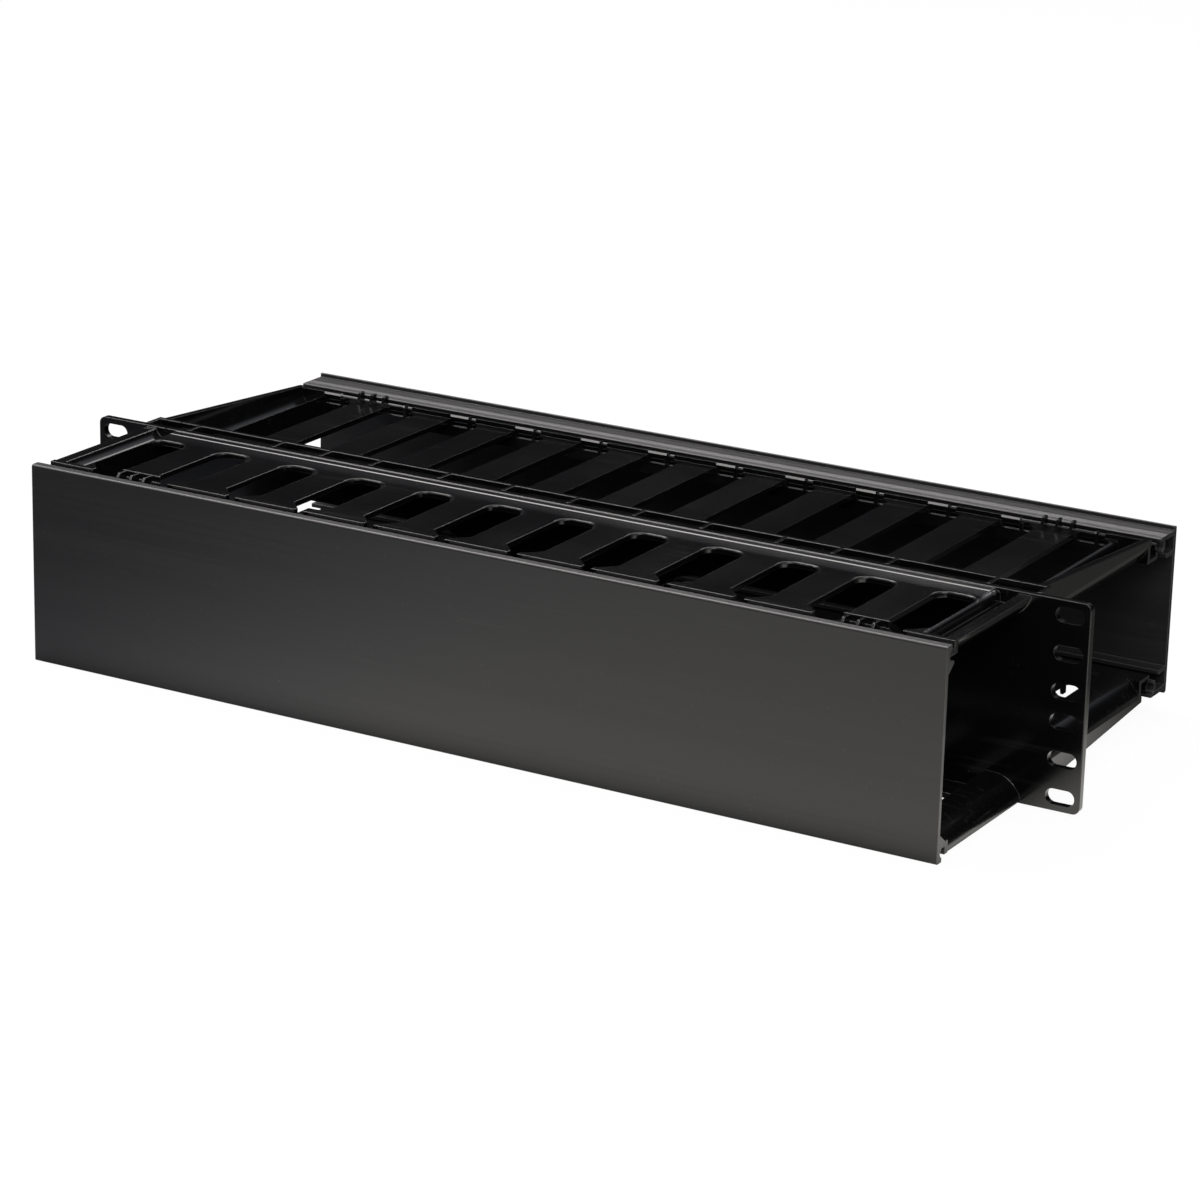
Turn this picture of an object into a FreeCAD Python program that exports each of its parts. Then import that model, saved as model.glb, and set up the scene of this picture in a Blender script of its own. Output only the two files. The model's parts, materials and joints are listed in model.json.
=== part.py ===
"""Horizontal cable manager for a 19 inch rack, two rack units high, with a channel of fingers in front
of the rack and a deeper one behind it. Each channel is closed by a cover that clips on round beads and
turns about them.

Millimetres. +Z is up, +X to the right seen from the front, and -Y is the front, where the operator stands.
The origin is the centre of the rack bolt pattern, on the face of the ears that lies against the rack rails.
"""
import FreeCAD, Part
import math
import os
import re
import Sketcher

# Driving dimensions: alias, value, what it measures.
SIZES = (
    ("rail_span", 465.1, "between the two columns of rack slots"),
    ("ear_edge", 8.75, "rack slot centres to the end of the ear"),
    ("rack_unit", 44.45, "height of one rack unit"),
    ("row_spacing", 15.875, "outer rack slots from the middle one of their unit"),
    ("rack_slot_length", 12.7, "rack slot, along X"),
    ("rack_slot_height", 6.6, "rack slot, along Z"),
    ("panel_relief", 0.8, "how much lower the panel is than its two rack units"),
    ("panel_wall", 3.2, "thickness of the rack panel"),
    ("panel_corner", 3.0, "corner radius of the ears"),
    ("pass_offset", 104.1, "cable passage through the panel, to each side of the middle"),
    ("pass_length", 126.0, "cable passage, along X"),
    ("pass_height", 48.0, "cable passage, along Z"),
    ("channel_width", 431.0, "over the flared ends of the channels"),
    ("deck_drop", 0.85, "outer face of the front decks below the panel's edge"),
    ("deck_wall", 2.4, "thickness of the decks"),
    ("flare_width", 16.0, "bend guard at each end of a deck, along X"),
    ("flare_rise", 10.0, "bend guard, from its throat to the outer face of the deck"),
    ("flare_radius", 12.5, "underside of the bend guard, which a cable bends round"),
    ("front_lip", 5.2, "thickness of the front bend guards"),
    ("rear_lip", 3.0, "thickness of the rear bend guards"),
    ("ramp_reach", 12.3, "ramp from the panel's edge down to the front deck"),
    ("ramp_edge", 0.3, "panel's edge above the top of the ramp"),
    ("slot_pitch", 34.7, "from finger slot to finger slot"),
    ("slot_width", 18.0, "finger slot"),
    ("slot_corner", 6.0, "corner radius of a slot's closed end"),
    ("slot_mouth", 4.6, "gap between two finger tips"),
    ("tip_flare", 7.5, "length over which a finger widens to its tip"),
    ("front_slot_root", 13.8, "from the panel to the closed end of a front slot"),
    ("rear_slot_root", 3.0, "from the rear wall to the closed end of a rear slot"),
    ("front_reach", 83.2, "rack face to the outside of the front cover"),
    ("front_cover_lip", 0.25, "front cover above the panel's edge"),
    ("rear_reach", 139.3, "rack face to the outside of the rear cover"),
    ("rear_cover_lip", 3.2, "rear cover above the rear deck"),
    ("cover_overhang", 1.9, "covers past the ends of the channels"),
    ("cover_wall", 2.0, "thickness of the covers"),
    ("cover_round", 1.0, "outer edge radius of the covers"),
    ("hook_gap", 0.3, "clearance between a bead and the hook round it"),
    ("front_bead", 2.5, "radius of the front hinge beads"),
    ("front_axis_inset", 5.4, "front bead axis behind the outside of the cover"),
    ("front_axis_drop", 4.4, "front bead axis below the top of the cover"),
    ("front_hook_top", 113.0, "upper end of the front hook, degrees round the bead"),
    ("front_hook_foot", 290.0, "lower end of the front hook"),
    ("front_barb", 7.3, "foot of the front hook's barb below the bead axis"),
    ("front_neck", 2.2, "thickness of the neck that carries a front bead"),
    ("front_neck_rise", 0.4, "top of that neck above the bead axis"),
    ("front_rail_inset", 5.3, "front face of the tip rail behind the bead axis"),
    ("front_rail_wall", 2.8, "front tip rail, along Y"),
    ("front_rail_lip", 0.4, "front tip rail above the deck"),
    ("rear_wall_inset", 8.6, "rack face to the front of the rear wall"),
    ("rear_wall", 2.2, "thickness of the rear wall"),
    ("wall_overhang", 2.7, "rear wall past the ends of the channels"),
    ("rear_deck_drop", 9.2, "rear decks below the front ones"),
    ("beam_depth", 9.0, "height of the ribbed beam above and below, along Z"),
    ("beam_wall", 1.8, "its ribs and floor"),
    ("beam_rib_1", 32.0, "ribs of the beam, from the middle one"),
    ("beam_rib_2", 64.0, "second rib"),
    ("beam_rib_3", 99.0, "third rib"),
    ("beam_rib_4", 125.0, "fourth rib"),
    ("beam_rib_5", 150.0, "fifth rib"),
    ("beam_rib_6", 195.0, "sixth rib"),
    ("rear_bead", 2.2, "radius of the rear hinge beads"),
    ("rear_axis_inset", 15.5, "rear bead axis in front of the outside of the cover"),
    ("rear_axis_drop", 5.6, "rear bead axis below the top of the cover"),
    ("rear_hook_wall", 1.4, "thickness of the rear hook"),
    ("rear_hook_top", 112.0, "upper end of the rear hook, degrees round the bead"),
    ("rear_hook_foot", -64.0, "lower end of the rear hook"),
    ("rear_neck", 1.6, "thickness of the upright neck that carries a rear bead"),
    ("rear_floor_drop", 4.1, "floor of the tip gutter below the bead axis"),
    ("rear_floor_wall", 1.7, "thickness of that floor"),
    ("rear_rail_inset", 7.5, "rear face of the rear tip rail in front of the bead axis"),
    ("rear_rail_wall", 2.0, "rear tip rail, along Y"),
    ("rear_rail_lip", 2.1, "rear tip rail above the deck"),
    ("window_width", 8.0, "window in the rear tip rail"),
    ("window_height", 3.4, "window, along Z"),
    ("window_drop", 2.0, "top of the window below the top of the rail"),
    ("notch_width", 3.2, "notch in the rear tip rail beside each window"),
    ("rib_drop", 11.2, "inner rib of the rear cover below the cover's top"),
    ("rib_reach", 7.3, "inner rib of the rear cover, along Y"),
    ("rib_wall", 1.8, "thickness of that rib"),
    ("comb_pitch", 6.6, "from tooth to tooth"),
    ("comb_tooth", 1.2, "thickness of a tooth"),
    ("front_comb_bay", 8.3, "lowered tip of the finger that carries a front comb, along Y"),
    ("front_comb_reach", 6.0, "front comb along Y"),
    ("front_comb_rise", 0.6, "front comb above the deck"),
    ("rear_comb_drop", 2.0, "rear tip rail under the comb, below the deck"),
    ("rear_comb_rise", 4.5, "rear comb above the deck"),
    ("rear_comb_nose", 1.2, "how far the rear comb points forward of the rail"),
)
TEETH = 3                     # teeth on each comb
BEAM_RIBS = 6                 # ribs of a beam to each side of its middle one
MARGIN = 1.0                  # how far a cutter stands out of what it cuts

# Places worked out from the driving dimensions, written as expressions.
PANEL_WIDTH = "(rail_span + 2 * ear_edge)"
PANEL_TOP = "(rack_unit - panel_relief / 2)"
FRONT_FACE = "(0 - panel_wall)"
DECK_TOP = f"({PANEL_TOP} - deck_drop)"
DECK_END = "(channel_width / 2 - flare_width)"
FRONT_COVER_TOP = f"({PANEL_TOP} + front_cover_lip)"
FRONT_AXIS_Y = "(front_axis_inset - front_reach)"
FRONT_AXIS_Z = f"({FRONT_COVER_TOP} - front_axis_drop)"
FRONT_RAIL_Y = f"({FRONT_AXIS_Y} + front_rail_inset)"
FRONT_TIP_Y = f"({FRONT_RAIL_Y} + front_rail_wall)"
REAR_WALL_Y = "(rear_wall_inset + rear_wall)"
WALL_END = "(channel_width / 2 + wall_overhang)"
REAR_TOP = f"({DECK_TOP} - rear_deck_drop)"
REAR_RAIL_TOP = f"({REAR_TOP} + rear_rail_lip)"
REAR_COVER_TOP = f"({REAR_TOP} + rear_cover_lip)"
REAR_AXIS_Y = "(rear_reach - rear_axis_inset)"
REAR_AXIS_Z = f"({REAR_COVER_TOP} - rear_axis_drop)"
REAR_TIP_Y = f"({REAR_AXIS_Y} - rear_rail_inset - rear_rail_wall)"
REAR_FLOOR_Z = f"({REAR_AXIS_Z} - rear_floor_drop)"
REAR_GUARD_Y = f"({REAR_AXIS_Y} - rear_axis_drop - 2 * hook_gap)"
NECK_TOP = f"({FRONT_AXIS_Z} + front_neck_rise)"

document = FreeCAD.newDocument("cable_manager")
sheet = document.addObject("Spreadsheet::Sheet", "Sizes")
for row, (alias, size, note) in enumerate(SIZES, start=1):
    sheet.set(f"A{row}", str(size))
    sheet.setAlias(f"A{row}", alias)
    sheet.set(f"B{row}", note)
document.recompute()
ALIASES = re.compile(r"\b(" + "|".join(alias for alias, _, _ in SIZES) + r")\b")


def bound(text):
    """The expression with every driving dimension read from the sheet."""
    return ALIASES.sub(r"Sizes.\1", str(text))


def size_of(text):
    """The value that an expression has now."""
    return float(sheet.evalExpression(bound(text)))


def bind(item, **expressions):
    """Binds properties to expressions: a double underscore in a name stands for a dot."""
    for name, text in expressions.items():
        item.setExpression(name.replace("__", "."), bound(text))
    return item


def stand(item, x="0", y="0", z="0"):
    """Binds the place of an object."""
    return bind(item, Placement__Base__x=x, Placement__Base__y=y, Placement__Base__z=z)


def box(name, x, y, z):
    """A box between two expressions along each axis."""
    item = document.addObject("Part::Box", name)
    bind(item, Length=f"({x[1]}) - ({x[0]})", Width=f"({y[1]}) - ({y[0]})", Height=f"({z[1]}) - ({z[0]})")
    return stand(item, x[0], y[0], z[0])


def fuse(name, shapes):
    item = document.addObject("Part::MultiFuse", name)
    item.Shapes = shapes
    item.Refine = True
    return item


def cut(name, base, tool):
    item = document.addObject("Part::Cut", name)
    item.Base = base
    item.Tool = tool
    return item


def mirror(name, source, normal):
    item = document.addObject("Part::Mirroring", name)
    item.Source = source
    item.Normal = normal
    return item


def outline(sketch, corners):
    """Draws a closed outline whose corners are bound to the sheet.

    A corner is (across, up), with a straight line to the next corner, or (across, up, centre across,
    centre up, turn), with an arc to the next corner that runs anticlockwise where turn is 1.
    """
    edges = []
    fixed = []
    points = [FreeCAD.Vector(size_of(corner[0]), size_of(corner[1]), 0) for corner in corners]
    for corner, start, end in zip(corners, points, points[1:] + points[:1]):
        if len(corner) == 2:
            index = sketch.addGeometry(Part.LineSegment(start, end), False)
            edges.append((index, 1, 2))
            continue
        centre = FreeCAD.Vector(size_of(corner[2]), size_of(corner[3]), 0)
        circle = Part.Circle(centre, FreeCAD.Vector(0, 0, 1), (start - centre).Length)
        ends = [math.atan2((point - centre).y, (point - centre).x) for point in (start, end)]
        if corner[4] > 0:
            index = sketch.addGeometry(Part.ArcOfCircle(circle, ends[0], ends[1]), False)
            edges.append((index, 1, 2))
        else:
            index = sketch.addGeometry(Part.ArcOfCircle(circle, ends[1], ends[0]), False)
            edges.append((index, 2, 1))
        chord = end - start
        if abs(chord.y) > abs(chord.x):
            fixed.append(("DistanceX", index, 3, corner[2]))
        else:
            fixed.append(("DistanceY", index, 3, corner[3]))
    joined = []
    for corner, (index, first, last), (after, start, _) in zip(corners, edges, edges[1:] + edges[:1]):
        fixed.append(("DistanceX", index, first, corner[0]))
        fixed.append(("DistanceY", index, first, corner[1]))
        joined.append(Sketcher.Constraint("Coincident", index, last, after, start))
    sketch.addConstraint(joined)
    lengths = [item for item in fixed if str(item[3]) != "0"]
    on_axis = [Sketcher.Constraint("PointOnObject", index, end, -2 if kind == "DistanceX" else -1)
               for kind, index, end, text in fixed if str(text) == "0"]
    sketch.addConstraint(on_axis)
    count = len(sketch.Constraints)
    sketch.addConstraint([Sketcher.Constraint(kind, -1, 1, index, end, size_of(text))
                          for kind, index, end, text in lengths])
    for number, item in enumerate(lengths, start=count):
        sketch.setExpression(f"Constraints[{number}]", bound(item[3]))


SIDE_ON = FreeCAD.Rotation(FreeCAD.Vector(1, 1, 1), 120)       # sketch across is Y, up is Z
FACE_ON = FreeCAD.Rotation(FreeCAD.Vector(1, 0, 0), 90)        # sketch across is X, up is Z
FLAT = FreeCAD.Rotation()                                      # sketch across is X, up is Y


def extrusion(name, turned, outlines, along, x="0", y="0", z="0"):
    """Outlines drawn on a turned plane at x, y, z and extruded by the vector along, given as expressions."""
    sketch = document.addObject("Sketcher::SketchObject", f"{name}_outline")
    sketch.Placement = FreeCAD.Placement(FreeCAD.Vector(), turned)
    stand(sketch, x, y, z)
    for corners in outlines:
        outline(sketch, corners)
    item = document.addObject("Part::Extrusion", name)
    item.Base = sketch
    item.DirMode = "Custom"
    item.Solid = True
    item.Dir = FreeCAD.Vector(*[size_of(part) for part in along])
    return bind(item, Dir__x=along[0], Dir__y=along[1], Dir__z=along[2])


def obround(length, height):
    """A slot outline with round ends about the origin, clockwise from its lower left."""
    reach = f"(({length}) / 2 - ({height}) / 2)"
    low = f"0 - ({height}) / 2"
    high = f"({height}) / 2"
    return [(f"0 - {reach}", low, f"0 - {reach}", "0", -1), (f"0 - {reach}", high),
            (reach, high, reach, "0", -1), (reach, low)]


def holes(name, length, height, wall, back, places):
    """Obround cutters through a wall whose rear face is at back, one at each place (across, up)."""
    through = ("0", f"0 - {wall} - {2 * MARGIN}", "0")
    start = f"{back} + {MARGIN}"
    return [extrusion(f"{name}_{number}", FACE_ON, [obround(length, height)], through, x, start, z)
            for number, (x, z) in enumerate(places, start=1)]


def reflected(corners, flip):
    """The corners mirrored by flip, in reverse order, with each arc between the same two corners."""
    back = []
    for number in range(len(corners) - 1, -1, -1):
        before = corners[number - 1] if number else ()
        arc = flip(*before[2:4]) + (before[4],) if len(before) == 5 else ()
        back.append(flip(*corners[number][:2]) + arc)
    return back


def deck_section(lip, brim):
    """The top deck seen from the front: a flat sheet that ends in a troughed bend guard on each side.

    Heights are measured from the deck's outer face. The guard's underside is an arc that a cable can
    bend round on its way out, lip is the guard's thickness, and brim lists the corners of its rim.
    """
    up = "(flare_radius - flare_rise)"
    across = f"(channel_width / 2 - sqrt(flare_radius ^ 2 - {up} ^ 2))"
    wall = f"({DECK_END} + deck_wall)"
    floor = f"({up} - sqrt((flare_radius - {lip}) ^ 2 - ({wall} - {across}) ^ 2))"
    right = [
        (DECK_END, "0", DECK_END, "0 - deck_wall", -1),
        (wall, "0 - deck_wall"),
        (wall, floor, across, up, 1),
    ] + brim(across, up) + [
        ("channel_width / 2", "0", across, up, -1),
        (across, "0 - flare_rise"),
        (DECK_END, "0 - flare_rise"),
        (DECK_END, "0 - deck_wall"),
    ]
    return right + reflected(right, lambda x, z: (f"0 - ({x})", z))


def front_brim(across, up):
    """The front guard's rim is flat and level with the deck."""
    return [(f"{across} + sqrt((flare_radius - front_lip) ^ 2 - {up} ^ 2)", "0")]


def rear_brim(across, up):
    """The rear guard's rim stands up to the height of the panel, where the taper is cut from it."""
    inner = "(channel_width / 2 - rear_lip)"
    top = f"({PANEL_TOP} - {REAR_TOP})"
    return [(inner, f"{up} - sqrt((flare_radius - rear_lip) ^ 2 - ({inner} - {across}) ^ 2)"),
            (inner, top), ("channel_width / 2", top)]


def slot_count():
    """How many finger slots fit between the upright walls of the bend guards."""
    room = size_of(f"2 * ({DECK_END} + deck_wall) - slot_width")
    return int(room // size_of("slot_pitch")) + 1


def slot_centres():
    """The middle of every finger slot, as expressions."""
    count = slot_count()
    return [f"slot_pitch * {number - (count - 1) / 2}" for number in range(count)]


def front_slot():
    """A front finger slot seen from above: round corners at the panel, a narrow mouth between the tips."""
    side = "(slot_width / 2)"
    root = f"({FRONT_FACE} - front_slot_root)"
    taper = f"({FRONT_TIP_Y} + tip_flare)"
    turn = f"({side} - slot_corner)"
    return [
        (f"0 - {side}", f"{root} - slot_corner", f"0 - {turn}", f"{root} - slot_corner", -1),
        (f"0 - {turn}", root),
        (turn, root, turn, f"{root} - slot_corner", -1),
        (side, f"{root} - slot_corner"),
        (side, taper),
        ("slot_mouth / 2", FRONT_TIP_Y),
        ("slot_mouth / 2", "0 - front_reach"),
        ("0 - slot_mouth / 2", "0 - front_reach"),
        ("0 - slot_mouth / 2", FRONT_TIP_Y),
        (f"0 - {side}", taper),
    ]


def rear_slot():
    """A rear finger slot seen from above, closed by the tip rail, with one corner cut off at the notch."""
    side = "(slot_width / 2)"
    root = f"({REAR_WALL_Y} + rear_slot_root)"
    turn = f"({side} - slot_corner)"
    return [
        (f"0 - {turn}", root, f"0 - {turn}", f"{root} + slot_corner", -1),
        (f"0 - {side}", f"{root} + slot_corner"),
        (f"0 - {side}", REAR_TIP_Y),
        (f"{side} / 2", REAR_TIP_Y),
        (side, f"{REAR_TIP_Y} - {side} / 2"),
        (side, f"{root} + slot_corner", turn, f"{root} + slot_corner", -1),
        (turn, root),
    ]


def comb_middle():
    """The middle of the finger that carries the right comb: the one between the last two slots."""
    return f"(slot_pitch * {slot_count() / 2 - 1})"


def comb(name, profile, top):
    """A pair of three-toothed combs on the second finger from each end, cut from one extruded profile."""
    width = f"({TEETH - 1} * comb_pitch + comb_tooth)"
    start = f"({comb_middle()} - {width} / 2)"
    block = extrusion(f"{name}_block", SIDE_ON, [profile], (width, "0", "0"), x=start)
    along = (f"{profile[0][0]} - 10 * comb_pitch", f"{profile[0][0]} + 10 * comb_pitch")
    gaps = []
    for number in range(TEETH - 1):
        near = f"{start} + comb_tooth + {number} * comb_pitch"
        gaps.append(box(f"{name}_gap_{number + 1}", (near, f"{near} + comb_pitch - comb_tooth"), along,
                        ("0", f"{top} + {MARGIN}")))
    right = cut(f"{name}_right", block, fuse(f"{name}_gaps", gaps))
    return [right, mirror(f"{name}_left", right, FreeCAD.Vector(1, 0, 0))]


def on_comb_fingers(name, y, z):
    """A box across each of the two fingers that carry a comb."""
    near, far = f"{comb_middle()} - slot_pitch / 2", f"{comb_middle()} + slot_pitch / 2"
    return [box(f"{name}_right", (near, far), y, z),
            box(f"{name}_left", (f"0 - ({far})", f"0 - ({near})"), y, z)]


def bead_bar(name, radius, y, z):
    """A round bar over the whole width of the channel, which the slots cut into one bead for each finger."""
    bar = document.addObject("Part::Cylinder", name)
    bar.Placement.Rotation = FreeCAD.Rotation(FreeCAD.Vector(0, 1, 0), 90)
    bind(bar, Radius=radius, Height="channel_width")
    return stand(bar, "0 - channel_width / 2", y, z)


def passages(name, back, wall):
    """The two cable passages, as cutters through the wall whose rear face is at back."""
    places = [(f"{side} * pass_offset", "0") for side in (-1, 1)]
    return holes(name, "pass_length", "pass_height", wall, back, places)


def rack_panel():
    """The rack panel with its rounded ears, without holes."""
    blank = box("panel_blank", (f"0 - {PANEL_WIDTH} / 2", f"{PANEL_WIDTH} / 2"), (FRONT_FACE, "0"),
                (f"0 - {PANEL_TOP}", PANEL_TOP))
    document.recompute()
    radius = size_of("panel_corner")
    edges = [(number, radius, radius) for number, edge in enumerate(blank.Shape.Edges, start=1)
             if edge.BoundBox.YLength > size_of("panel_wall") / 2]
    rounded = document.addObject("Part::Fillet", "panel")
    rounded.Base = blank
    rounded.Edges = edges
    return rounded


def rack_holes():
    """Cutters for the six slots of each ear, three to a rack unit."""
    rows = [f"{sign} * (rack_unit / 2 + {step} * row_spacing)" for sign in (-1, 1) for step in (-1, 0, 1)]
    places = [(f"{side} * rail_span / 2", row) for side in (-1, 1) for row in rows]
    return holes("rack_slot", "rack_slot_length", "rack_slot_height", "panel_wall", "0", places)


def front_ramp():
    """The strip that leads from the panel's edge down to the front deck."""
    foot = f"{FRONT_FACE} - ramp_reach"
    return extrusion("front_ramp", SIDE_ON, [[
        (FRONT_FACE, f"{DECK_TOP} - deck_wall"),
        (FRONT_FACE, f"{PANEL_TOP} - ramp_edge"),
        (foot, DECK_TOP),
        (foot, f"{DECK_TOP} - deck_wall"),
    ]], (f"2 * {DECK_END}", "0", "0"), x=f"0 - {DECK_END}")


def front_tips():
    """The tip rail, the necks and the beads of the front fingers, lowered where a comb stands."""
    across = ("0 - channel_width / 2", "channel_width / 2")
    rail = box("front_rail", across, (FRONT_RAIL_Y, FRONT_TIP_Y),
               (f"{NECK_TOP} - front_neck", f"{DECK_TOP} + front_rail_lip"))
    neck = box("front_neck", across, (FRONT_AXIS_Y, FRONT_RAIL_Y), (f"{NECK_TOP} - front_neck", NECK_TOP))
    return [rail, neck, bead_bar("front_bead_bar", "front_bead", FRONT_AXIS_Y, FRONT_AXIS_Z)]


def front_comb():
    """The teeth of the front combs, pointed at their front edge."""
    top = f"({DECK_TOP} + front_comb_rise)"
    edge = f"{FRONT_RAIL_Y} + front_rail_wall / 2"
    return comb("front_comb", [
        (f"{FRONT_RAIL_Y} + front_comb_reach", f"{NECK_TOP} - front_neck / 2"),
        (f"{FRONT_RAIL_Y} + front_comb_reach", top),
        (edge, top),
        (FRONT_RAIL_Y, f"({NECK_TOP} + {top}) / 2"),
        (edge, f"{NECK_TOP} - front_neck / 2"),
    ], top)


def front_frame():
    """The front moulding: rack panel, ears, the two front decks, their finger tips and hinge beads."""
    deck = extrusion("front_deck", FACE_ON, [deck_section("front_lip", front_brim)],
                     ("0", f"{FRONT_RAIL_Y} - {FRONT_FACE}", "0"), y=FRONT_FACE, z=DECK_TOP)
    upper = fuse("front_upper", [deck, front_ramp()] + front_tips())
    bay_end = f"{FRONT_RAIL_Y} + front_comb_bay"
    bays = on_comb_fingers("front_bay", (f"{FRONT_RAIL_Y} - {MARGIN}", bay_end),
                           (NECK_TOP, f"{PANEL_TOP} + {MARGIN}"))
    upper = cut("front_upper_lowered", upper, fuse("front_bays", bays))
    below = f"{NECK_TOP} - front_neck"
    floors = on_comb_fingers("front_bay_floor", (FRONT_RAIL_Y, bay_end), (below, NECK_TOP))
    floors += on_comb_fingers("front_bay_riser", (bay_end, f"{bay_end} + deck_wall"), (below, DECK_TOP))
    upper = fuse("front_upper_floored", [upper] + floors)
    slots = [extrusion(f"front_slot_{number}", FLAT, [front_slot()], ("0", "0", PANEL_TOP), x=x)
             for number, x in enumerate(slot_centres(), start=1)]
    upper = cut("front_upper_slotted", upper, fuse("front_slots", slots))
    upper = fuse("front_upper_toothed", [upper] + front_comb())
    lower = mirror("front_lower", upper, FreeCAD.Vector(0, 0, 1))
    body = fuse("front_body", [rack_panel(), upper, lower])
    openings = rack_holes() + passages("front_passage", "0", "panel_wall")
    return cut("front_frame", body, fuse("front_holes", openings))


def rear_deck():
    """The rear deck with its bend guards, whose rims fall from the wall to the tip rail."""
    deck = extrusion("rear_deck_blank", FACE_ON, [deck_section("rear_lip", rear_brim)],
                     ("0", f"{REAR_GUARD_Y} - {REAR_WALL_Y}", "0"), y=REAR_WALL_Y, z=REAR_TOP)
    above = f"{PANEL_TOP} + {MARGIN}"
    taper = extrusion("rear_taper", SIDE_ON, [[
        (REAR_WALL_Y, PANEL_TOP),
        (REAR_GUARD_Y, REAR_RAIL_TOP),
        (f"{REAR_GUARD_Y} + {MARGIN}", REAR_RAIL_TOP),
        (f"{REAR_GUARD_Y} + {MARGIN}", above),
        (REAR_WALL_Y, above),
    ]], (f"2 * {WALL_END}", "0", "0"), x=f"0 - {WALL_END}")
    gutter = box("rear_deck_end", (f"0 - {DECK_END}", DECK_END),
                 (f"{REAR_TIP_Y} + rear_rail_wall", f"{REAR_GUARD_Y} + {MARGIN}"),
                 (f"{REAR_TOP} - deck_wall - {MARGIN}", f"{REAR_TOP} + {MARGIN}"))
    return cut("rear_deck", deck, fuse("rear_deck_cutters", [taper, gutter]))


def beam():
    """A ribbed beam between the panel and the rear wall, open on top like a ladder."""
    floor = f"({PANEL_TOP} - beam_depth)"
    pieces = [box("beam_floor", (f"0 - {WALL_END}", WALL_END), ("0", "rear_wall_inset"),
                  (floor, f"{floor} + beam_wall"))]
    offsets = [f"beam_rib_{number}" for number in range(1, BEAM_RIBS + 1)]
    offsets.append(f"({WALL_END} - beam_wall / 2)")
    middles = ["0"] + [f"{side} * {offset}" for offset in offsets for side in (-1, 1)]
    for number, x in enumerate(middles, start=1):
        pieces.append(box(f"beam_rib_{number}", (f"{x} - beam_wall / 2", f"{x} + beam_wall / 2"),
                          ("0", "rear_wall_inset"), (floor, PANEL_TOP)))
    return pieces


def rear_tips():
    """The tip rail, the gutter and the beads of the rear fingers. The rail is lowered under the combs."""
    across = ("0 - channel_width / 2", "channel_width / 2")
    rail_end = f"{REAR_TIP_Y} + rear_rail_wall"
    bottom = f"{REAR_FLOOR_Z} - rear_floor_wall"
    rail = box("rear_rail_blank", across, (REAR_TIP_Y, rail_end), (bottom, REAR_RAIL_TOP))
    lowered = on_comb_fingers("rear_rail_gap", (f"{REAR_TIP_Y} - {MARGIN}", f"{rail_end} + {MARGIN}"),
                              (f"{REAR_TOP} - rear_comb_drop", f"{REAR_RAIL_TOP} + {MARGIN}"))
    rail = cut("rear_rail", rail, fuse("rear_rail_gaps", lowered))
    neck_end = f"{REAR_AXIS_Y} + rear_neck / 2"
    floor = box("rear_gutter", across, (REAR_TIP_Y, neck_end), (bottom, REAR_FLOOR_Z))
    neck = box("rear_neck_wall", across, (f"{REAR_AXIS_Y} - rear_neck / 2", neck_end),
               (REAR_FLOOR_Z, REAR_AXIS_Z))
    return [rail, floor, neck, bead_bar("rear_bead_bar", "rear_bead", REAR_AXIS_Y, REAR_AXIS_Z)]


def rear_comb():
    """The teeth of the rear combs, pointed at their front edge."""
    top = f"({REAR_TOP} + rear_comb_rise)"
    foot = f"({REAR_TOP} - rear_comb_drop)"
    return comb("rear_comb", [
        (REAR_TIP_Y, f"{foot} + rear_comb_drop / 2"),
        (f"{REAR_TIP_Y} - rear_comb_nose", f"({foot} + {top}) / 2"),
        (REAR_TIP_Y, top),
        (REAR_GUARD_Y, top),
        (REAR_GUARD_Y, foot),
        (f"{REAR_TIP_Y} + rear_rail_wall / 2", f"{foot} - rear_comb_drop"),
        (REAR_TIP_Y, f"{foot} - rear_comb_drop / 2"),
    ], top)


def rear_slot_cutters():
    """Cutters for the rear slots, and for the window and the notch that the tip rail has at each of them."""
    cutters = []
    through = (f"{REAR_TIP_Y} - {MARGIN}", f"{REAR_TIP_Y} + rear_rail_wall + {MARGIN}")
    top = f"({REAR_RAIL_TOP} - window_drop)"
    for number, x in enumerate(slot_centres(), start=1):
        side = f"{x} + slot_mouth / 3"
        cutters.append(extrusion(f"rear_slot_{number}", FLAT, [rear_slot()], ("0", "0", PANEL_TOP), x=x))
        cutters.append(box(f"window_{number}", (f"{x} - window_width", x), through,
                           (f"{top} - window_height", top)))
        cutters.append(box(f"notch_{number}", (side, f"{side} + notch_width"), through,
                           (f"{top} - window_height", f"{REAR_RAIL_TOP} + {MARGIN}")))
    return cutters


def rear_frame():
    """The rear moulding: a wall behind the panel, the beams that space it, and the rear channel."""
    wall = box("rear_wall_blank", (f"0 - {WALL_END}", WALL_END), ("rear_wall_inset", REAR_WALL_Y),
               (f"0 - {PANEL_TOP}", PANEL_TOP))
    openings = fuse("rear_holes", passages("rear_passage", REAR_WALL_Y, "rear_wall"))
    wall = cut("rear_wall_open", wall, openings)
    upper = fuse("rear_upper", [rear_deck()] + rear_tips() + beam())
    upper = cut("rear_upper_slotted", upper, fuse("rear_cutters", rear_slot_cutters()))
    upper = fuse("rear_upper_toothed", [upper] + rear_comb())
    lower = mirror("rear_lower", upper, FreeCAD.Vector(0, 0, 1))
    return fuse("rear_frame", [wall, upper, lower])


def polar(radius, degrees):
    """A point at a radius and an angle, as expressions about the origin."""
    return f"{radius} * cos({degrees} * 1deg)", f"{radius} * sin({degrees} * 1deg)"


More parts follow.
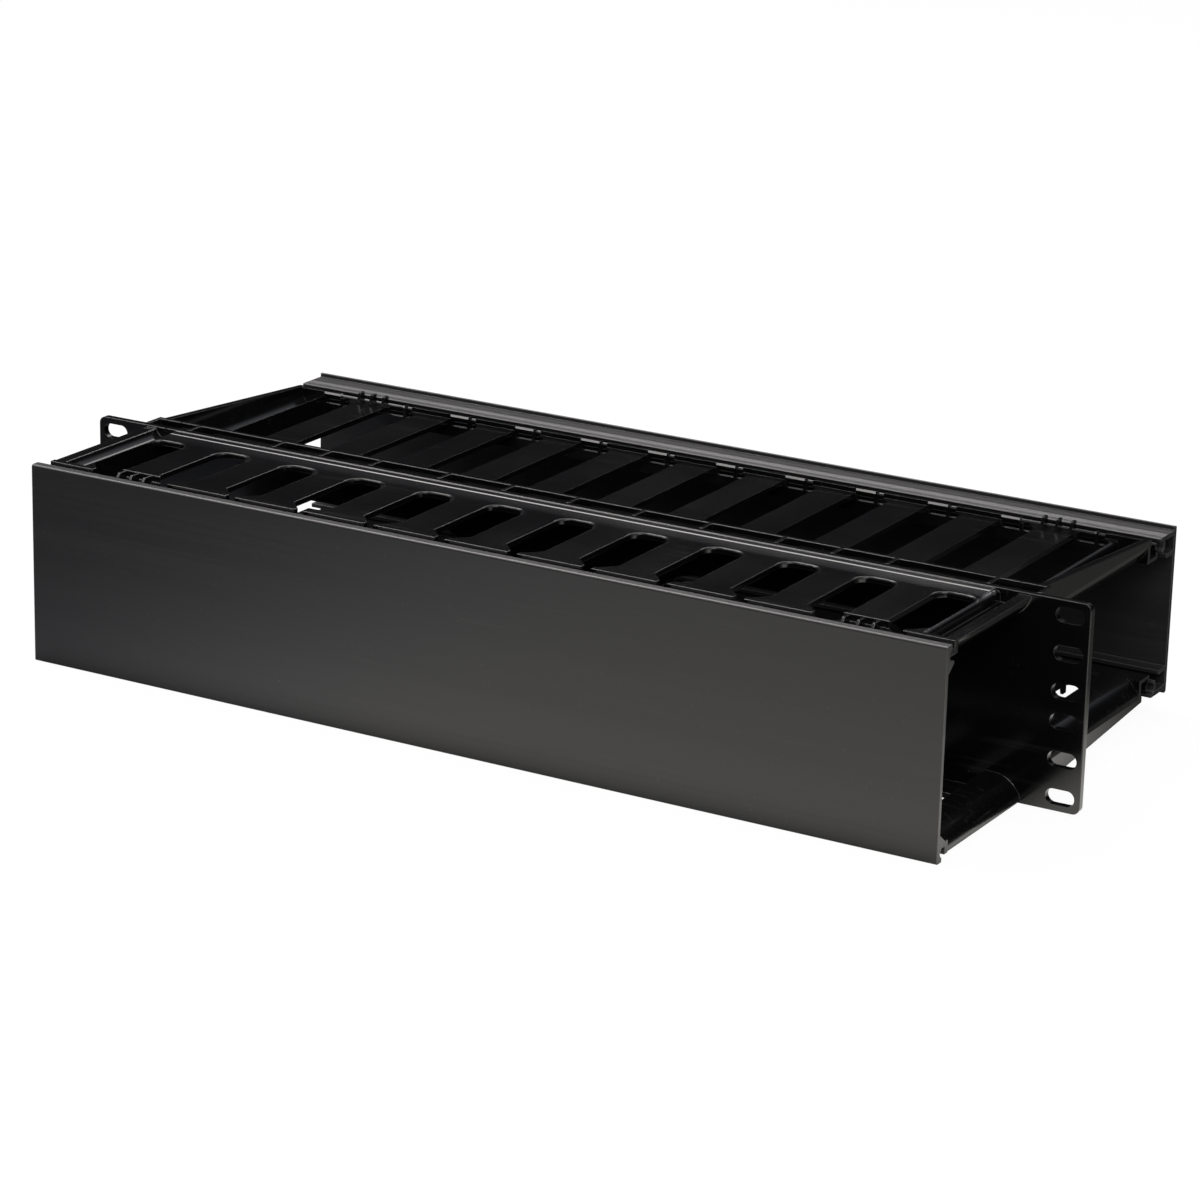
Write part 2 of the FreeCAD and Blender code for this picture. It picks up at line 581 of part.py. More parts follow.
def cover(name, half, level, y, z):
    """A cover extrusion: its half profile and the mirror of it, padded evenly to both sides.

    The cover's own origin is its upper hinge axis, which the body's placement puts on the beads.
    """
    body = document.addObject("PartDesign::Body", name)
    plane = next(item for item in body.Origin.OriginFeatures if item.Role == "YZ_Plane")
    sketch = body.newObject("Sketcher::SketchObject", f"{name}_profile")
    sketch.AttachmentSupport = [(plane, "")]
    sketch.MapMode = "FlatFace"
    outline(sketch, half + reflected(half, lambda across, up: (across, f"2 * ({level}) - ({up})")))
    pad = body.newObject("PartDesign::Pad", f"{name}_pad")
    pad.Profile = sketch
    pad.Midplane = True
    bind(pad, Length="channel_width + 2 * cover_overhang")
    body.Tip = pad
    return stand(body, "0", y, z)


def front_cover():
    """The front cover: a flat sheet whose upper and lower edges curl round the beads of the finger tips."""
    hook = "(front_bead + hook_gap)"
    outside = "(0 - front_axis_inset)"
    inside = "(cover_wall - front_axis_inset)"
    top = "front_axis_drop"
    tip, foot = polar(hook, "front_hook_top"), polar(hook, "front_hook_foot")
    half = [
        (outside, f"{top} - cover_round", f"{outside} + cover_round", f"{top} - cover_round", -1),
        (f"{outside} + cover_round", top),
        (tip[0], top),
        (tip[0], tip[1], "0", "0", 1),
        (foot[0], foot[1]),
        (f"{foot[0]} + hook_gap", f"{foot[1]} - front_neck / 2"),
        (inside, "0 - front_barb"),
    ]
    return cover("front_cover", half, f"0 - {FRONT_AXIS_Z}", FRONT_AXIS_Y, FRONT_AXIS_Z)


def rear_cover():
    """The rear cover: a shallow tray whose flanges end in hooks round the beads, with a rib inside each."""
    hook = "(rear_bead + hook_gap)"
    outer = f"({hook} + rear_hook_wall)"
    outside = "rear_axis_inset"
    inside = "(rear_axis_inset - cover_wall)"
    top = "rear_axis_drop"
    under = f"({outer} - cover_wall)"
    rib = "(rear_axis_drop - rib_drop)"
    tip, lip = polar(hook, "rear_hook_top"), polar(outer, "rear_hook_top")
    foot, toe = polar(hook, "rear_hook_foot"), polar(outer, "rear_hook_foot")
    half = [
        (inside, f"{rib} - rib_wall / 2"),
        (f"{inside} - rib_reach", f"{rib} - rib_wall / 2"),
        (f"{inside} - rib_reach", f"{rib} + rib_wall / 2"),
        (inside, f"{rib} + rib_wall / 2"),
        (inside, under),
        (f"sqrt({outer} ^ 2 - {under} ^ 2)", under, "0", "0", -1),
        toe,
        (foot[0], foot[1], "0", "0", 1),
        tip,
        (lip[0], lip[1], "0", "0", -1),
        ("0", outer),
        (inside, outer),
        (inside, top),
        (f"{outside} - cover_round", top, f"{outside} - cover_round", f"{top} - cover_round", -1),
        (outside, f"{top} - cover_round"),
    ]
    return cover("rear_cover", half, f"0 - {REAR_AXIS_Z}", REAR_AXIS_Y, REAR_AXIS_Z)


parts = [front_frame(), rear_frame(), front_cover(), rear_cover()]
document.recompute()

for item in document.Objects:
    if "Invalid" in item.State or "Error" in item.State:
        raise RuntimeError(f"{item.Name} failed: {item.State}")
for item in parts:
    if item.Shape.isNull() or not item.Shape.isValid():
        raise RuntimeError(f"{item.Label} has no valid shape")

os.makedirs("parts", exist_ok=True)
for item in parts:
    item.Shape.exportStep(f"parts/{item.Label}.step")
    print(item.Label, len(item.Shape.Solids), "solid,", round(item.Shape.Volume / 1000, 1), "cm3")
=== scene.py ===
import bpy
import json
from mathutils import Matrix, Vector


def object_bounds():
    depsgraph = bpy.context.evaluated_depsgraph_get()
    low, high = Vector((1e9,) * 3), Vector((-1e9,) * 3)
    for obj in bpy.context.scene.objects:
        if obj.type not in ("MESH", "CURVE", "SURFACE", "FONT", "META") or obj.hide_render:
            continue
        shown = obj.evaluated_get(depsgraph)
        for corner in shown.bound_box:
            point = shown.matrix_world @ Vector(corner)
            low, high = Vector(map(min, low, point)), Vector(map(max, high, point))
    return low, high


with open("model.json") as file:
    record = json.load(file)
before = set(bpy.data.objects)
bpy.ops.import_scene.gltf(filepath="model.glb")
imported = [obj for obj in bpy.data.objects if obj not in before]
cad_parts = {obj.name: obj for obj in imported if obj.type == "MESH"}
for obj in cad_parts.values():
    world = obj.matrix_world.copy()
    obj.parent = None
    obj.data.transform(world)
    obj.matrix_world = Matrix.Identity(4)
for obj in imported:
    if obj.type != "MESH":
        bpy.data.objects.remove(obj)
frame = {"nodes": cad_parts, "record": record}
cad_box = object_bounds()

"""Looks of a rack cable manager: satin extruded covers on a glossier moulded frame, on white.

Metres, in the frame of the solids: +Z up, -Y the front, the origin in the middle of the rack face.
"""
import json
import math

import bpy
from mathutils import Matrix, Vector

# Camera, worked out from the rack holes: its aim and distance, its bearing round from the front,
# its height as an angle, and its roll.
AIM = Vector((0.01886, -0.0032, 0.00543))
DISTANCE = 1.7543
BEARING = math.radians(29.98)
ELEVATION = math.radians(17.86)
ROLL = math.radians(1.44)
LENS_MM = 125.38
SENSOR_MM = 36.0

# Lamps: place, aim, width and height in metres, and power in watts.
LAMPS = {
    "key": ((1.1, -1.0, 1.5), (0.1, 0.0, 0.0), (1.2, 1.2), 26.0),
    "fill": ((-1.6, -0.9, 1.3), (0.0, 0.0, 0.0), (1.0, 1.0), 7.0),
    "overhead": ((-0.85, 0.25, 1.5), (0.0, 0.0, 0.0), (1.4, 0.9), 34.0),
    "back": ((-0.40, 1.30, 1.15), (0.1, 0.1, 0.0), (0.9, 0.35), 4.5),
}
LAMP_WARM = (1.0, 0.955, 0.93)

# The room that the plastic mirrors: its colour, and its strength from one height to the other.
# A height is how far a direction points up: 0 is level and 1 is straight up.
ROOM_COOL = (0.95, 0.98, 1.05, 1)
ROOM_HEIGHTS = (0.385, 0.61)
ROOM_STRENGTHS = (0.010, 0.70)
WHITE = (1, 1, 1, 1)

TABLE_SPAN = 12.0          # the table reaches past every view
TABLE_SHADOW = 0.05        # share of the real shading that the white table keeps
TABLE_WHITE = (0.86, 0.86, 0.86, 1)      # as the camera sees it
TABLE_GREY = (0.35, 0.35, 0.35, 1)       # what it throws back on the part

# What the part mirrors of the table: cool and dim to its left, warm and bright to its right.
MIRROR_COOL = (0.94, 0.975, 1.09, 1)
MIRROR_WARM = (1.02, 1.00, 0.955, 1)
MIRROR_DIM = 0.12
MIRROR_GAIN = 0.84
MIRROR_RIGHT_X = (-0.34, -0.02)          # grows brighter from here to here
MIRROR_FRONT = {"low": -0.30, "high": -0.085, "start": 1.0, "end": 1.65}
MIRROR_REAR = {"low": 0.0, "high": 0.16, "start": 1.0, "end": 0.08}
# Painted shade: the mirrored light is dimmed where the part would shade the table.
UNDER_PART_SHADE = 0.05                        # painted shade: the share of the mirrored light left beneath the part
UNDER_PART_X = (0.20, 0.235)             # the part's ends, out from the middle
UNDER_PART_Y = (-0.07, -0.11)            # and its front

FRAME_BLACK = (0.0024, 0.0025, 0.0028, 1)
FRAME_WORN = (0.026, 0.025, 0.025, 1)
COVER_BLACK = (0.0136, 0.0134, 0.0138, 1)
COVER_PALE = (0.0180, 0.0177, 0.0180, 1)
COVER_EDGE = (0.0850, 0.0830, 0.0820, 1)
DUST_GREY = (0.16, 0.155, 0.15, 1)
LINES_PALE = 0.5           # how far the die lines go to the pale colour
BEND_PALE = 0.85           # and the covers' bend to the edge colour

# Roughness: the smoothest, and what is added where the mask is full.
FRAME_ROUGH = 0.12
FLOW_ROUGH = 0.05
DUST_ROUGH = 0.4
COVER_ROUGH = 0.36
LINES_ROUGH = 0.10

FRAME_IOR = 1.49
COVER_IOR = 1.50
FRAME_SHINE = 0.5          # specular level
EAR_SLOT_SHINE = 0.16      # and on the walls inside the ear slots

# Radii that edges roll over with, in metres.
FRAME_RADIUS = 0.00075
FINE_RADIUS = 0.0002       # at the rear decks and the ear slots
RIM_RADIUS = 0.00095       # added where the slots of the front decks end
COVER_RADIUS = 0.0005
BEVEL_SAMPLES = 6

# Depth of the grain, in metres.
SKIN_DEPTH = 0.00003
LINES_DEPTH = 0.00002

# Steps too low for the solids: from, to and rise along Y. The ramp and its ledge, and the flutes.
FRAME_STEPS = ((-0.0180, 0.0010, 0.00057), (-0.0081, -0.0067, 0.00037))
COVER_STEPS = ((0.1250, 0.1305, 0.00110), (0.1310, 0.1325, -0.00060), (0.1364, 0.1382, 0.00060))

# Where the frame's finish changes, in metres along Y, or out from the middle along X and Z.
REAR_DECKS_Y = (0.0130, 0.1240, 0.0010)      # from, to, and how far the mask fades at each end
REAR_DECKS_Z = (0.0366, 0.0004)              # up to, and how far it fades past that
EAR_SLOTS_X = (0.2225, 0.2397, 0.0003)
EAR_SLOTS_Z = (0.0418, 0.0004)
OUTER_FACES_X = (0.2045, 0.0010)             # the top and the underside, between the ears
OUTER_FACES_Z = (0.0412, 0.0420)             # fades in between these
FRONT_RIMS_Y = (-0.0240, -0.0150, 0.0005)    # where the slots of the front decks end

# The lintel over each window of the upper rear rail, and how far its normal leans up.
SLOT_PITCH = 0.0347
LINTEL_SHIFT = 0.004                         # how far the windows lie to the left of half pitches
LINTEL_X = (0.0045 / SLOT_PITCH, 0.0005 / SLOT_PITCH)      # half a length and its fade, in pitches
LINTEL_Y = (0.1140, 0.1165, 0.0003)
LINTEL_Z = (0.0350, 0.0352)                  # fades in between these
LINTEL_LEAN = 1.6

# Faces by the share of their normal that lies along Y.
SIDEWAYS = (0.3, 0.2)                        # up to, and how far the mask fades past that
BEND = (0.25, 0.90, 0.1)                     # the covers' bend to the rear: from, to and fade


# ---------------------------------------------------------------- node helpers

def new_group(name, inputs, outputs):
    """An empty shader group, what comes into it, and the values that go out."""
    group = bpy.data.node_groups.new(name, "ShaderNodeTree")
    kinds = {"value": "NodeSocketFloat", "vector": "NodeSocketVector"}
    for socket, kind, default in inputs:
        made = group.interface.new_socket(socket, in_out="INPUT", socket_type=kinds[kind])
        if default is not None:
            made.default_value = default
    for socket in outputs:
        group.interface.new_socket(socket, in_out="OUTPUT", socket_type=kinds["value"])
    start = group.nodes.new("NodeGroupInput").outputs
    end = group.nodes.new("NodeGroupOutput").inputs
    return group, start, end


def node(tree, kind, **settings):
    """A new node with its settings."""
    made = tree.nodes.new(kind)
    for name, value in settings.items():
        setattr(made, name, value)
    return made


def join(tree, source, target):
    """Links an output to an input, or sets the input where the source is a plain value."""
    if isinstance(source, bpy.types.NodeSocket):
        tree.links.new(source, target)
    else:
        target.default_value = source


def fed(tree, kind, *sources, **settings):
    """A new node with its first inputs joined in order: gives its outputs."""
    made = node(tree, kind, **settings)
    for socket, source in zip(made.inputs, sources):
        join(tree, source, socket)
    return made.outputs


def math_node(tree, operation, *values, clamp=False):
    """A sum, a share or another step of arithmetic."""
    return fed(tree, "ShaderNodeMath", *values, operation=operation, use_clamp=clamp)[0]


def product(tree, first, *others):
    """Values and masks multiplied together."""
    for other in others:
        first = math_node(tree, "MULTIPLY", first, other)
    return first


def largest(tree, *values, clamp=False):
    """The larger of two values or masks."""
    return math_node(tree, "MAXIMUM", *values, clamp=clamp)


def vector_node(tree, operation, *values):
    """Arithmetic on places and normals: gives the node's outputs."""
    return fed(tree, "ShaderNodeVectorMath", *values, operation=operation)


def axes(tree, vector):
    """The X, Y and Z of a place or a normal."""
    return fed(tree, "ShaderNodeSeparateXYZ", vector)


def ramp(tree, value, low, high, start=0.0, end=1.0):
    """Maps low..high to start..end with smooth ends."""
    return fed(tree, "ShaderNodeMapRange", value, low, high, start, end,
               interpolation_type="SMOOTHSTEP")["Result"]


def below(tree, value, edge, soft):
    """A mask that is 1 up to an edge and fades past it."""
    return ramp(tree, value, edge, edge + soft, 1.0, 0.0)


def within(tree, value, low, high, soft):
    """A mask that is 1 between two values and fades beyond them."""
    return product(tree, ramp(tree, value, low - soft, low), below(tree, value, high, soft))


def mix_colour(tree, factor, first, second):
    """Two colours mixed: the node's colour sockets come after those for numbers and vectors."""
    made = node(tree, "ShaderNodeMix", data_type="RGBA")
    join(tree, factor, made.inputs[0])
    join(tree, first, made.inputs[6])
    join(tree, second, made.inputs[7])
    return made.outputs[2]


def noise(tree, place, scale, detail=2.0, roughness=0.5):
    """Soft noise with so many lumps to the metre."""
    made = node(tree, "ShaderNodeTexNoise")
    join(tree, place, made.inputs["Vector"])
    made.inputs["Scale"].default_value = scale
    made.inputs["Detail"].default_value = detail
    made.inputs["Roughness"].default_value = roughness
    return made.outputs["Fac"]


def streaks(tree, place, along, across, detail, roughness):
    """Noise that is drawn out along X."""
    drawn = vector_node(tree, "MULTIPLY", place, (along, across, across))[0]
    return noise(tree, drawn, 1.0, detail, roughness)


# ---------------------------------------------------------------- effects that materials share

BROAD_SHARE = 0.55         # of the die lines that are broad, against fine ones
FINE_SHARE = 0.45
STIPPLE_SHARE = 0.05       # of the mould's stipple, against its flow waves
SPECKS_PER_METRE = 420.0

# Hair scratches: turn about Y, stretch along the scratch, and a shift that sets them apart.
HAIRS = ((0.25, 14.0, 0.0), (-0.55, 18.0, 3.7), (1.15, 22.0, 8.1))
HAIR_ACROSS = 420.0        # and stretch across it


def draw_lines_group():
    """Fine lines left along X by the extrusion die: a mask and a height."""
    group, start, end = new_group(
        "draw_lines",
        [("Place", "vector", None), ("Strength", "value", 1.0)],
        ["Mask", "Height"])
    broad = streaks(group, start["Place"], along=0.35, across=60.0, detail=3.0, roughness=0.6)
    fine = streaks(group, start["Place"], along=1.2, across=700.0, detail=2.0, roughness=0.55)
    both = math_node(group, "ADD", product(group, broad, BROAD_SHARE),
                     product(group, fine, FINE_SHARE))
    mask = ramp(group, both, low=0.38, high=0.64)
    join(group, product(group, mask, start["Strength"]), end["Mask"])
    join(group, product(group, fine, start["Strength"]), end["Height"])
    return group


def scuffs_group():
    """Short hair scratches in three directions, sparse: a mask."""
    group, start, end = new_group(
        "scuffs",
        [("Place", "vector", None), ("Amount", "value", 0.5)],
        ["Mask"])
    total = 0.0
    for angle, stretch, shift in HAIRS:
        turned = fed(group, "ShaderNodeMapping", start["Place"], (shift, shift, shift),
                     (0.0, angle, 0.0), (stretch, HAIR_ACROSS, HAIR_ACROSS))[0]
        hair = ramp(group, noise(group, turned, scale=1.0, detail=0.0), low=0.735, high=0.79)
        total = largest(group, total, hair)
    patches = ramp(group, noise(group, start["Place"], scale=23.0, detail=1.0), low=0.45, high=0.62)
    sparse = product(group, total, patches)
    join(group, math_node(group, "MULTIPLY", sparse, start["Amount"], clamp=True), end["Mask"])
    return group


def dust_group():
    """Specks and a thin film of dust on faces that look up: a mask."""
    group, start, end = new_group(
        "dust",
        [("Place", "vector", None), ("Normal", "vector", None),
         ("Film", "value", 0.05), ("Specks", "value", 0.4)],
        ["Mask"])
    upward = ramp(group, axes(group, start["Normal"])["Z"], low=0.2, high=0.95)
    cloud = ramp(group, noise(group, start["Place"], scale=55.0, detail=3.0), low=0.35, high=0.75)
    film = product(group, cloud, upward, start["Film"])
    grains = node(group, "ShaderNodeTexVoronoi", feature="F1")
    join(group, start["Place"], grains.inputs["Vector"])
    grains.inputs["Scale"].default_value = SPECKS_PER_METRE
    near = ramp(group, grains.outputs["Distance"], low=0.10, high=0.055)
    rare = ramp(group, noise(group, start["Place"], scale=140.0, detail=0.0), low=0.62, high=0.70)
    speck = product(group, near, rare, start["Specks"])
    join(group, largest(group, film, speck, clamp=True), end["Mask"])
    return group


def mould_skin_group():
    """The skin of a polished mould: flow waves and a faint stipple, as height, and a gloss mask."""
    group, start, end = new_group(
        "mould_skin",
        [("Place", "vector", None)],
        ["Height", "Gloss"])
    waves = noise(group, start["Place"], scale=34.0)
    stipple = noise(group, start["Place"], scale=1500.0, detail=1.0)
    skin = math_node(group, "ADD", waves, product(group, stipple, STIPPLE_SHARE))
    join(group, skin, end["Height"])
    flow = noise(group, start["Place"], scale=19.0, detail=3.0)
    join(group, ramp(group, flow, low=0.3, high=0.7), end["Gloss"])
    return group


def worn_edges_group():
    """Edges that handling has polished, from how far the surface bends near them: a mask."""
    group, start, end = new_group(
        "worn_edges",
        [("Bent", "vector", None), ("Normal", "vector", None),
         ("Low", "value", 0.02), ("High", "value", 0.25)],
        ["Mask"])
    alike = vector_node(group, "DOT_PRODUCT", start["Bent"], start["Normal"])["Value"]
    away = math_node(group, "SUBTRACT", 1.0, alike)
    join(group, ramp(group, away, start["Low"], start["High"]), end["Mask"])
    return group


def steps_group():
    """A low step that runs along X: how high the surface stands past it, in metres."""
    group, start, end = new_group(
        "steps",
        [("Place", "vector", None),
         ("Low", "value", 0.0), ("High", "value", 0.001), ("Rise", "value", 0.0)],
        ["Height"])
    risen = ramp(group, axes(group, start["Place"])["Y"], start["Low"], start["High"])
    join(group, product(group, risen, start["Rise"]), end["Height"])
    return group


GROUPS = {
    "draw_lines": draw_lines_group(),
    "scuffs": scuffs_group(),
    "dust": dust_group(),
    "mould_skin": mould_skin_group(),
    "worn_edges": worn_edges_group(),
    "steps": steps_group(),
}


def effect(tree, name, **inputs):
    """A shared effect placed in a material's tree with its own inputs."""
    made = node(tree, "ShaderNodeGroup")
    made.node_tree = GROUPS[name]
    for socket, item in inputs.items():
        join(tree, item, made.inputs[socket])
    return made.outputs


# ---------------------------------------------------------------- materials

def new_material(name):
    """A material, its tree, its Principled shader's inputs, the place and the geometry."""
    material = bpy.data.materials.new(name)
    material.use_nodes = True
    tree = material.node_tree
    shader = tree.nodes["Principled BSDF"].inputs
    place = node(tree, "ShaderNodeTexCoord").outputs["Object"]
    geometry = node(tree, "ShaderNodeNewGeometry").outputs
    return material, tree, shader, place, geometry


def bump(tree, height, depth, normal):
    """Bumps a normal by the height times a depth in metres."""
    made = node(tree, "ShaderNodeBump")
    made.inputs["Strength"].default_value = 1.0
    made.inputs["Distance"].default_value = depth
    join(tree, height, made.inputs["Height"])
    join(tree, normal, made.inputs["Normal"])
    return made.outputs[0]


def rounded_normal(tree, radius):
    """A normal that rolls over sharp edges within a small radius, as a moulded edge does."""
    return fed(tree, "ShaderNodeBevel", radius, samples=BEVEL_SAMPLES)[0]


def stepped(tree, place, steps):
    """The height of several steps that run along X: each has its start, end and rise."""
    height = 0.0
    for low, high, rise in steps:
        step = effect(tree, "steps", Place=place, Low=low, High=high, Rise=rise)["Height"]
        height = math_node(tree, "ADD", step, height)
    return height


def dusted(tree, colour, dust, scuffs, scuff_share):
    """A colour under dust, with scratches as pale as a share of the dust."""
    pale = largest(tree, dust, product(tree, scuffs, scuff_share))
    return mix_colour(tree, pale, colour, DUST_GREY)


def leaning_lintels(tree, axis, normal):
    """Leans the normal up on the lintel over each rear window, which slopes to the front."""
    across, along, up = axis
    turns = math_node(tree, "DIVIDE", math_node(tree, "ADD", across, LINTEL_SHIFT), SLOT_PITCH)
    off_centre = math_node(tree, "SUBTRACT", math_node(tree, "FRACT", turns), 0.5)
    off_centre = math_node(tree, "ABSOLUTE", off_centre)
    lintel = product(tree, below(tree, off_centre, *LINTEL_X), within(tree, along, *LINTEL_Y),
                     ramp(tree, up, *LINTEL_Z))
    lift = fed(tree, "ShaderNodeCombineXYZ", 0.0, 0.0, product(tree, lintel, LINTEL_LEAN))[0]
    return vector_node(tree, "NORMALIZE", vector_node(tree, "ADD", normal, lift)[0])[0]


def frame_plastic():
    """Black moulded plastic with a low sheen and edges polished pale by handling."""
    material, tree, shader, place, geometry = new_material("frame_plastic")
    across, along, up = axes(tree, place)
    aside = math_node(tree, "ABSOLUTE", across)
    level = math_node(tree, "ABSOLUTE", up)
    rear_decks = product(tree, within(tree, along, *REAR_DECKS_Y),
                         below(tree, level, *REAR_DECKS_Z))
    ear_slots = product(tree, within(tree, aside, *EAR_SLOTS_X),
                        below(tree, level, *EAR_SLOTS_Z))
    outer_faces = product(tree, below(tree, aside, *OUTER_FACES_X),
                          ramp(tree, level, *OUTER_FACES_Z))
    front_rims = product(tree, within(tree, along, *FRONT_RIMS_Y), outer_faces)

    radius = ramp(tree, largest(tree, rear_decks, ear_slots), 0.0, 1.0, FRAME_RADIUS, FINE_RADIUS)
    rolled = rounded_normal(tree, math_node(tree, "MULTIPLY_ADD", front_rims, RIM_RADIUS, radius))
    leaning = leaning_lintels(tree, (across, along, up), rolled)
    ledge = product(tree, stepped(tree, place, FRAME_STEPS), outer_faces)
    skin = effect(tree, "mould_skin", Place=place)
    normal = bump(tree, skin["Height"], SKIN_DEPTH, bump(tree, ledge, 1.0, leaning))
    join(tree, normal, shader["Normal"])

    edges = effect(tree, "worn_edges", Bent=rolled, Normal=geometry["True Normal"],
                   Low=0.03, High=0.30)["Mask"]
    dust = effect(tree, "dust", Place=place, Normal=geometry["Normal"],
                  Film=0.004, Specks=0.30)["Mask"]
    scuffs = effect(tree, "scuffs", Place=place, Amount=0.15)["Mask"]
    colour = mix_colour(tree, edges, FRAME_BLACK, FRAME_WORN)
    join(tree, dusted(tree, colour, dust, scuffs, scuff_share=0.2), shader["Base Color"])

    rough = math_node(tree, "MULTIPLY_ADD", skin["Gloss"], FLOW_ROUGH, FRAME_ROUGH)
    rough = math_node(tree, "ADD", rough, product(tree, dust, DUST_ROUGH), clamp=True)
    join(tree, rough, shader["Roughness"])

    facing = math_node(tree, "ABSOLUTE", axes(tree, geometry["True Normal"])["Y"])
    slot_walls = product(tree, below(tree, facing, *SIDEWAYS), ear_slots)
    shine = ramp(tree, slot_walls, 0.0, 1.0, FRAME_SHINE, EAR_SLOT_SHINE)
    join(tree, shine, shader["Specular IOR Level"])
    shader["IOR"].default_value = FRAME_IOR
    return material


def cover_plastic():
    """Extruded black plastic: satin, with die lines, hair scratches and pale cut edges."""
    material, tree, shader, place, geometry = new_material("cover_plastic")
    rolled = rounded_normal(tree, COVER_RADIUS)
    lines = effect(tree, "draw_lines", Place=place, Strength=1.0)
    flutes = bump(tree, stepped(tree, place, COVER_STEPS), 1.0, rolled)
    join(tree, bump(tree, lines["Height"], LINES_DEPTH, flutes), shader["Normal"])

    edges = effect(tree, "worn_edges", Bent=rolled, Normal=geometry["True Normal"],
                   Low=0.02, High=0.22)["Mask"]
    dust = effect(tree, "dust", Place=place, Normal=geometry["Normal"],
                  Film=0.02, Specks=0.5)["Mask"]
    scuffs = effect(tree, "scuffs", Place=place, Amount=0.12)["Mask"]
    bend = within(tree, axes(tree, geometry["Normal"])["Y"], *BEND)
    colour = mix_colour(tree, product(tree, lines["Mask"], LINES_PALE), COVER_BLACK, COVER_PALE)
    pale = largest(tree, edges, product(tree, bend, BEND_PALE))
    colour = mix_colour(tree, pale, colour, COVER_EDGE)
    join(tree, dusted(tree, colour, dust, scuffs, scuff_share=0.22), shader["Base Color"])

    rough = math_node(tree, "MULTIPLY_ADD", lines["Mask"], LINES_ROUGH, COVER_ROUGH)
    join(tree, rough, shader["Roughness"])
    shader["IOR"].default_value = COVER_IOR
    return material


# ---------------------------------------------------------------- table and world shaders

def ray_kinds(tree):
    """The light path's outputs, and a mask for the rays that see what the camera sees."""
    path = node(tree, "ShaderNodeLightPath").outputs
    return path, largest(tree, path["Is Camera Ray"], path["Is Transmission Ray"])


def mirrored_light(tree):
    """What the plastic mirrors of the table, brighter to the right, with painted shade beneath the
    part.
    """
    x, y, _ = axes(tree, node(tree, "ShaderNodeTexCoord").outputs["Object"])
    rightward = ramp(tree, x, *MIRROR_RIGHT_X)
    # Painted shade: the mirrored light is dimmed beneath the part, in place of the part's shadow on
    # the table.
    aside = ramp(tree, math_node(tree, "ABSOLUTE", x), *UNDER_PART_X)
    beyond = largest(tree, aside, ramp(tree, y, *UNDER_PART_Y))
    strength = product(
        tree,
        math_node(tree, "MULTIPLY_ADD", rightward, MIRROR_GAIN, MIRROR_DIM),
        ramp(tree, y, **MIRROR_FRONT),
        ramp(tree, y, **MIRROR_REAR),
        largest(tree, beyond, UNDER_PART_SHADE))
    colour = mix_colour(tree, rightward, MIRROR_COOL, MIRROR_WARM)
    return fed(tree, "ShaderNodeEmission", colour, strength)[0]


def table_white():
    """The table: white to the eye, grey to the part, and a light of its own in what mirrors it."""
    material = bpy.data.materials.new("table_white")
    material.use_nodes = True
    tree = material.node_tree
    tree.nodes.clear()
    path, seen = ray_kinds(tree)
    paper = fed(tree, "ShaderNodeBsdfDiffuse", mix_colour(tree, seen, TABLE_GREY, TABLE_WHITE))[0]
    glow = fed(tree, "ShaderNodeEmission", WHITE, 1.0)[0]
    unshaded = product(tree, seen, 1.0 - TABLE_SHADOW)
    plain = fed(tree, "ShaderNodeMixShader", unshaded, paper, glow)[0]
    mirrored = mirrored_light(tree)
    surface = fed(tree, "ShaderNodeMixShader", path["Is Glossy Ray"], plain, mirrored)[0]
    fed(tree, "ShaderNodeOutputMaterial", surface)
    return material


def light_world():
    """A white backdrop to the eye, and a dim room for the plastic to mirror."""
    world = bpy.data.worlds.new("studio")
    world.use_nodes = True
    tree = world.node_tree
    tree.nodes.clear()
    height = axes(tree, node(tree, "ShaderNodeTexCoord").outputs["Generated"])["Z"]
    strength = ramp(tree, height, *ROOM_HEIGHTS, *ROOM_STRENGTHS)
    room = fed(tree, "ShaderNodeBackground", ROOM_COOL, strength)[0]
    backdrop = fed(tree, "ShaderNodeBackground", WHITE, 1.0)[0]
    surface = fed(tree, "ShaderNodeMixShader", ray_kinds(tree)[1], room, backdrop)[0]
    fed(tree, "ShaderNodeOutputWorld", surface)
    bpy.context.scene.world = world


# ---------------------------------------------------------------- dressing, table, lamps and camera

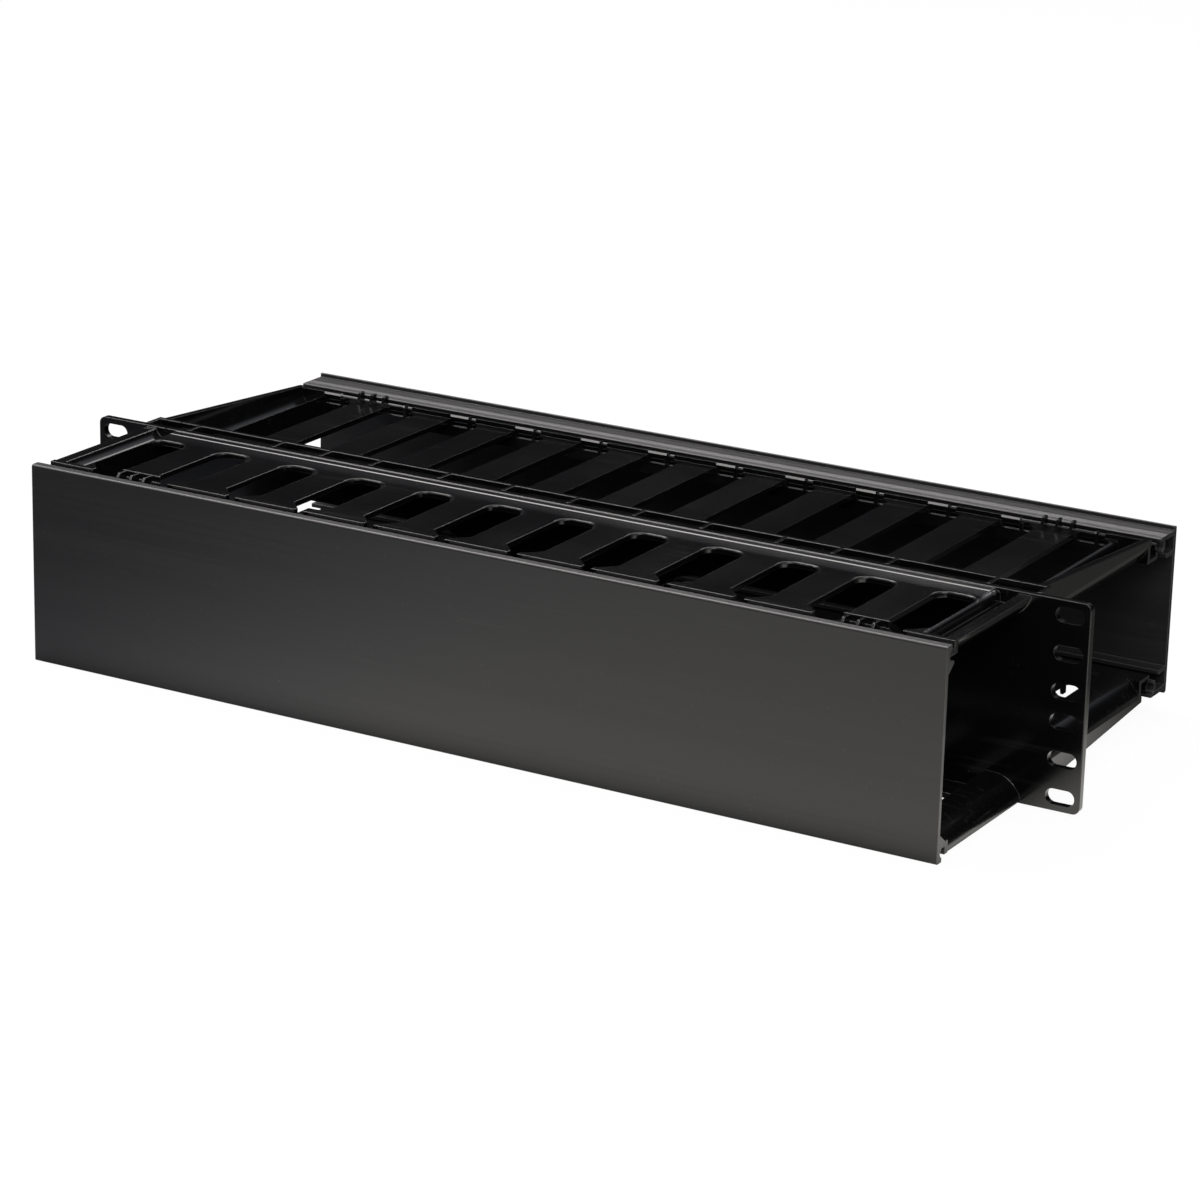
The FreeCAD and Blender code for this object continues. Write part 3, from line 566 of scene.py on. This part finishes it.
def dress_nodes():
    """Gives every solid its finish."""
    finishes = {"frame_plastic": frame_plastic(), "cover_plastic": cover_plastic()}
    slots = {item["node"]: item["material_slot"] for item in frame["record"]["subparts"]}
    for name, item in frame["nodes"].items():
        item.data.materials.clear()
        item.data.materials.append(finishes[slots[name]])


def place_object(name, data):
    """A new object of the scene, which holds a mesh, a lamp or a camera."""
    item = bpy.data.objects.new(name, data)
    bpy.context.scene.collection.objects.link(item)
    return item


def lay_table():
    """The table that the part stands on."""
    level = cad_box[0][2]
    half = TABLE_SPAN / 2
    mesh = bpy.data.meshes.new("table")
    corners = [(x * half, y * half, level) for x, y in ((-1, -1), (1, -1), (1, 1), (-1, 1))]
    mesh.from_pydata(corners, [], [(0, 1, 2, 3)])
    mesh.materials.append(table_white())
    place_object("table", mesh)


def hang_lamps():
    """A soft key from the right front, a fill from the left, one overhead and a weak one behind."""
    for name, (place, aim, size, power) in LAMPS.items():
        lamp = bpy.data.lights.new(name, "AREA")
        lamp.shape = "RECTANGLE"
        lamp.size, lamp.size_y = size
        lamp.energy = power
        lamp.color = LAMP_WARM
        item = place_object(name, lamp)
        item.location = place
        item.rotation_euler = (Vector(aim) - Vector(place)).to_track_quat("-Z", "Y").to_euler()


def place_camera():
    """Stands the camera to the right of the front, a little above the part."""
    level = math.cos(ELEVATION)
    away = Vector((math.sin(BEARING) * level, -math.cos(BEARING) * level, math.sin(ELEVATION)))
    right = Vector((math.cos(BEARING), math.sin(BEARING), 0.0))
    up = away.cross(right)
    rolled_right = math.cos(ROLL) * right + math.sin(ROLL) * up
    rolled_up = math.cos(ROLL) * up - math.sin(ROLL) * right
    lens = bpy.data.cameras.new("camera")
    lens.lens = LENS_MM
    lens.sensor_width = SENSOR_MM
    camera = place_object("camera", lens)
    turn = Matrix((rolled_right, rolled_up, away)).transposed().to_4x4()
    camera.matrix_world = Matrix.Translation(AIM + DISTANCE * away) @ turn
    bpy.context.scene.camera = camera


dress_nodes()
lay_table()
hang_lamps()
light_world()
place_camera()
bpy.context.scene.view_settings.view_transform = "Standard"
